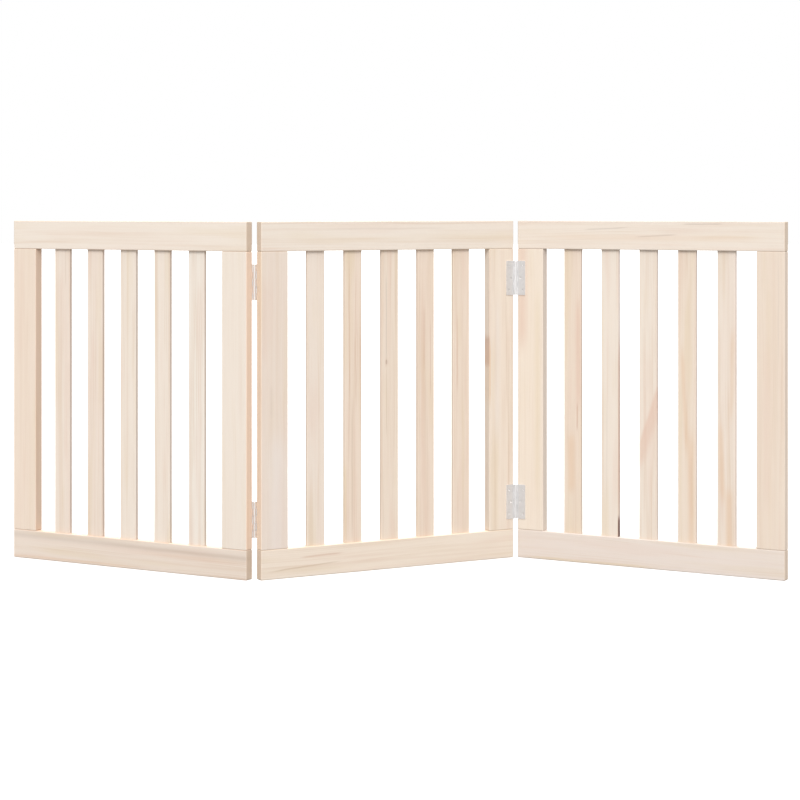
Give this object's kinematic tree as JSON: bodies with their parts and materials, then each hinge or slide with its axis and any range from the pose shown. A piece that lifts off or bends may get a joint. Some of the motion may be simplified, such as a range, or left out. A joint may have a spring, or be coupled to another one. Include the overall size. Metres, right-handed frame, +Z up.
{
  "type": "folding pet gate",
  "caption": "Free-standing folding wooden gate of slatted panels hinged in a zigzag, which stands across a doorway to keep a pet out.",
  "frame": {"origin": "on the floor, under the middle of the centre panel, which is the middle of the gate's box", "axes": "+Z up; +X to the right along the gate as seen from in front; -Y towards the viewer. The gate stands in its zigzag."},
  "size_m": [1.3396, 0.2616, 0.6],
  "materials": {
    "pine_board": "planed bare pine, matt",
    "pine_slat": "planed bare pine, matt",
    "beech_dowel": "turned beech, matt",
    "hinge_steel": "zinc-plated pressed steel",
    "screw_zinc": "zinc-plated steel"
  },
  "bodies": {
    "centre_panel": {"centre_top_rail": "pine_board", "centre_bottom_rail": "pine_board", "centre_left_stile": "pine_board", "centre_right_stile": "pine_board", "centre_slat_1": "pine_slat", "centre_slat_2": "pine_slat", "centre_slat_3": "pine_slat", "centre_slat_4": "pine_slat", "centre_slat_5": "pine_slat", "centre_dowels": "beech_dowel", "left_upper_hinge_centre_leaf": "hinge_steel", "left_upper_hinge_pin": "hinge_steel", "left_upper_hinge_centre_screws": "screw_zinc", "left_lower_hinge_centre_leaf": "hinge_steel", "left_lower_hinge_pin": "hinge_steel", "left_lower_hinge_centre_screws": "screw_zinc", "right_upper_hinge_centre_leaf": "hinge_steel", "right_upper_hinge_pin": "hinge_steel", "right_upper_hinge_centre_screws": "screw_zinc", "right_lower_hinge_centre_leaf": "hinge_steel", "right_lower_hinge_pin": "hinge_steel", "right_lower_hinge_centre_screws": "screw_zinc"},
    "right_panel": {"right_top_rail": "pine_board", "right_bottom_rail": "pine_board", "right_left_stile": "pine_board", "right_right_stile": "pine_board", "right_slat_1": "pine_slat", "right_slat_2": "pine_slat", "right_slat_3": "pine_slat", "right_slat_4": "pine_slat", "right_slat_5": "pine_slat", "right_dowels": "beech_dowel", "right_upper_hinge_outer_leaf": "hinge_steel", "right_upper_hinge_outer_screws": "screw_zinc", "right_lower_hinge_outer_leaf": "hinge_steel", "right_lower_hinge_outer_screws": "screw_zinc"},
    "left_panel": {"left_top_rail": "pine_board", "left_bottom_rail": "pine_board", "left_left_stile": "pine_board", "left_right_stile": "pine_board", "left_slat_1": "pine_slat", "left_slat_2": "pine_slat", "left_slat_3": "pine_slat", "left_slat_4": "pine_slat", "left_slat_5": "pine_slat", "left_dowels": "beech_dowel", "left_upper_hinge_outer_leaf": "hinge_steel", "left_upper_hinge_outer_screws": "screw_zinc", "left_lower_hinge_outer_leaf": "hinge_steel", "left_lower_hinge_outer_screws": "screw_zinc"}
  },
  "joints": [
    {"name": "left_fold", "type": "hinge", "parent": "centre_panel", "child": "left_panel", "pos_m": [-0.22517, -0.11121, 0.3], "axis": [0, 0, 1], "range_deg": [-121.6, 71]},
    {"name": "right_fold", "type": "hinge", "parent": "centre_panel", "child": "right_panel", "pos_m": [0.22517, 0.11121, 0.3], "axis": [0, 0, 1], "range_deg": [-121.6, 71]}
  ]
}
